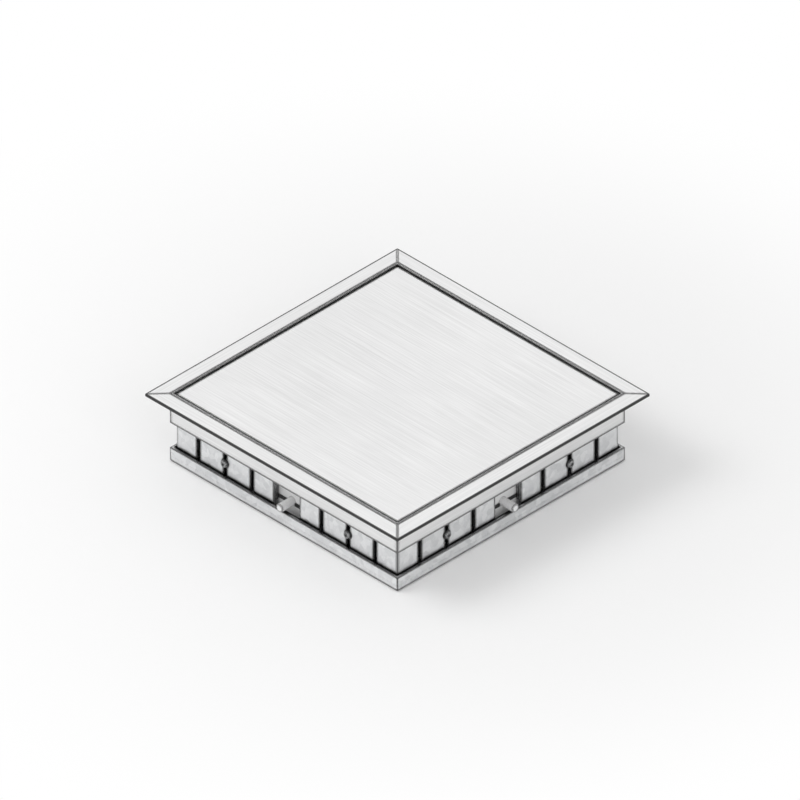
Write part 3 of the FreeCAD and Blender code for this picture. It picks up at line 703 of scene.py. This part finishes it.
DATA_COLUMNS = (-62, 62)
PORT_OFFSETS = (-10.8, 10.8)
PIN_COUNT = 8
PIN_PITCH = 1.02
PIN_PATH = ((-55.3, 29.0), (-56.2, 29.4), (-59.6, 21.0), (-59.2, 17.9))
PIN_SECTION = ((-0.22, -0.2), (0.22, -0.2), (0.22, 0.2), (-0.22, 0.2))
for number, x in enumerate(DATA_COLUMNS, start=1):
    pins = Shape()
    for offset in PORT_OFFSETS:
        for k in range(PIN_COUNT):
            middle = x + offset + PIN_PITCH * (k - (PIN_COUNT - 1) / 2)
            rings = [[(middle + dx, y + dy, z) for dx, dy in PIN_SECTION] for y, z in PIN_PATH]
            pins.add(tube(rings))
    pins.piece(f"data_contacts_{number}", "base", "brass")

# Raised borders of the inserts: round each face, the socket recesses and the data ports.
INSERT_TOP = 31.5
DATA_ROW = -60
PORT_ROW = -61.35
BORDER_FOOT = -0.2
BORDER_SOFT = 0.4
CORNER_STEPS = 5
LEAST_CORNER = 0.3
COLLAR_PROFILE = (
    (19.5, BORDER_FOOT), (20.9, BORDER_FOOT), (20.9, 0.35), (20.6, 0.6),
    (19.8, 0.6), (19.5, 0.35), (19.5, BORDER_FOOT),
)


def rounded_square(half, corner):
    """The outline of a square about the origin with rounded corners."""
    loop = []
    for turn, (x_sign, y_sign) in enumerate(((1, 1), (-1, 1), (-1, -1), (1, -1))):
        for k in range(CORNER_STEPS + 1):
            angle = math.pi / 2 * (turn + k / CORNER_STEPS)
            x = x_sign * (half - corner) + corner * math.cos(angle)
            y = y_sign * (half - corner) + corner * math.sin(angle)
            loop.append((x, y))
    return loop


def border(half, width, height, corner):
    """A square raised border on Z = 0 with softened edges, let into the face at its foot."""
    soft = BORDER_SOFT * height
    section = (
        (0, BORDER_FOOT),
        (0, height - soft),
        (soft, height),
        (width - soft, height),
        (width, height - soft),
        (width, BORDER_FOOT),
    )
    rings = []
    for inset, z in section:
        loop = rounded_square(half - inset, max(corner - inset, LEAST_CORNER))
        rings.append([(x, y, z) for x, y in loop])
    return tube(rings + rings[:1], closed=False)


rims = Shape()
collars = Shape()
surrounds = Shape()
rim = border(half=24.1, width=1.7, height=0.9, corner=1.6)
collar = turned(COLLAR_PROFILE, 64, closed=False)
surround = border(half=7.7, width=1.1, height=0.6, corner=1.4)
for x in INSERT_COLUMNS:
    for y in (DATA_ROW, SOCKET_ROW):
        rims.add(rim, upright(x, y, INSERT_TOP))
    collars.add(collar, upright(x, SOCKET_ROW, INSERT_TOP))
for x in DATA_COLUMNS:
    for offset in PORT_OFFSETS:
        surrounds.add(surround, upright(x + offset, PORT_ROW, INSERT_TOP))
rims.piece("insert_rims", "base", "insert_white")
collars.piece("socket_collars", "base", "insert_white")
surrounds.piece("port_surrounds", "base", "insert_white")


# Camera of the drawing: an isometric view from the front right, in metres.

AZIMUTH = math.radians(45)
ELEVATION = math.atan(1 / math.sqrt(2))
TARGET = Vector((0.00167, 0.00167, 0.0675))
DISTANCE = 3.0
FRAMED_WIDTH = 0.7287


def aimed(way):
    """The rotation that points a camera or a lamp along a way."""
    return way.to_track_quat("-Z", "Y").to_euler()


camera_data = bpy.data.cameras.new("camera")
camera_data.type = "ORTHO"
camera_data.ortho_scale = FRAMED_WIDTH
camera = bpy.data.objects.new("camera", camera_data)
scene.collection.objects.link(camera)
level = math.cos(ELEVATION)
view = Vector((math.sin(AZIMUTH) * level, -math.cos(AZIMUTH) * level, math.sin(ELEVATION)))
camera.location = TARGET + view * DISTANCE
camera.rotation_euler = aimed(-view)
scene.camera = camera


# White studio: soft lamps, a pale floor that keeps the shadow and turns white further out.

AMBIENT = 0.72
WHITE = (1, 1, 1, 1)
FLOOR_COLOUR = (0.95, 0.95, 0.95, 1)
FLOOR_REACH = 6.0
FLOOR_LEVEL = -0.0002
FADE_START = 0.28
FADE_END = 0.62
LIT_SPOT = Vector((0, 0, 0.04))


def seen_directly(tree):
    """1 for camera, glossy and transmission rays, 0 for the rest."""
    rays = add_node(tree, "LightPath", {}).outputs
    total = rays["Is Camera Ray"]
    for name in ("Is Glossy Ray", "Is Transmission Ray"):
        node = add_node(tree, "Math", {0: total, 1: rays[name]}, operation="MAXIMUM")
        total = node.outputs[0]
    return total


world = bpy.data.worlds.new("studio")
world.use_nodes = True
tree = world.node_tree
strength = add_node(tree, "MapRange", {"Value": seen_directly(tree), "To Min": AMBIENT})
background = tree.nodes["Background"]
background.inputs["Color"].default_value = WHITE
tree.links.new(strength.outputs["Result"], background.inputs["Strength"])
scene.world = world

floor_mesh = bpy.data.meshes.new("floor")
corners = [(x * FLOOR_REACH, y * FLOOR_REACH, 0) for x, y in ((-1, -1), (1, -1), (1, 1), (-1, 1))]
floor_mesh.from_pydata(corners, [], [(0, 1, 2, 3)])
floor = bpy.data.objects.new("floor", floor_mesh)
floor.location.z = FLOOR_LEVEL
scene.collection.objects.link(floor)
paper = bpy.data.materials.new("floor_paper")
paper.use_nodes = True
tree = paper.node_tree
tree.nodes.remove(tree.nodes["Principled BSDF"])
place = add_node(tree, "TexCoord", {}).outputs["Object"]
far = add_node(tree, "VectorMath", {0: place}, operation="LENGTH").outputs["Value"]
inputs = {"Value": far, "From Min": FADE_START, "From Max": FADE_END}
fade = add_node(tree, "MapRange", inputs, interpolation_type="SMOOTHSTEP").outputs["Result"]
inputs = {0: fade, 1: seen_directly(tree)}
share = add_node(tree, "Math", inputs, operation="MULTIPLY").outputs[0]
lit = add_node(tree, "BsdfDiffuse", {"Color": FLOOR_COLOUR}).outputs["BSDF"]
white = add_node(tree, "Emission", {}).outputs["Emission"]
mixed = add_node(tree, "MixShader", {"Fac": share, 1: lit, 2: white}).outputs["Shader"]
tree.links.new(mixed, tree.nodes["Material Output"].inputs["Surface"])
floor_mesh.materials.append(paper)


def lamp(name, spot, side, power):
    """A square area lamp turned to the box, kept out of reflections."""
    data = bpy.data.lights.new(name, "AREA")
    data.shape = "SQUARE"
    data.size = side
    data.energy = power
    item = bpy.data.objects.new(name, data)
    item.location = spot
    item.rotation_euler = aimed(LIT_SPOT - Vector(spot))
    item.visible_glossy = False
    scene.collection.objects.link(item)


lamp("key", spot=(-1.5, -1.2, 2.1), side=1.6, power=26)
lamp("fill", spot=(1.9, -0.7, 1.3), side=1.2, power=5)
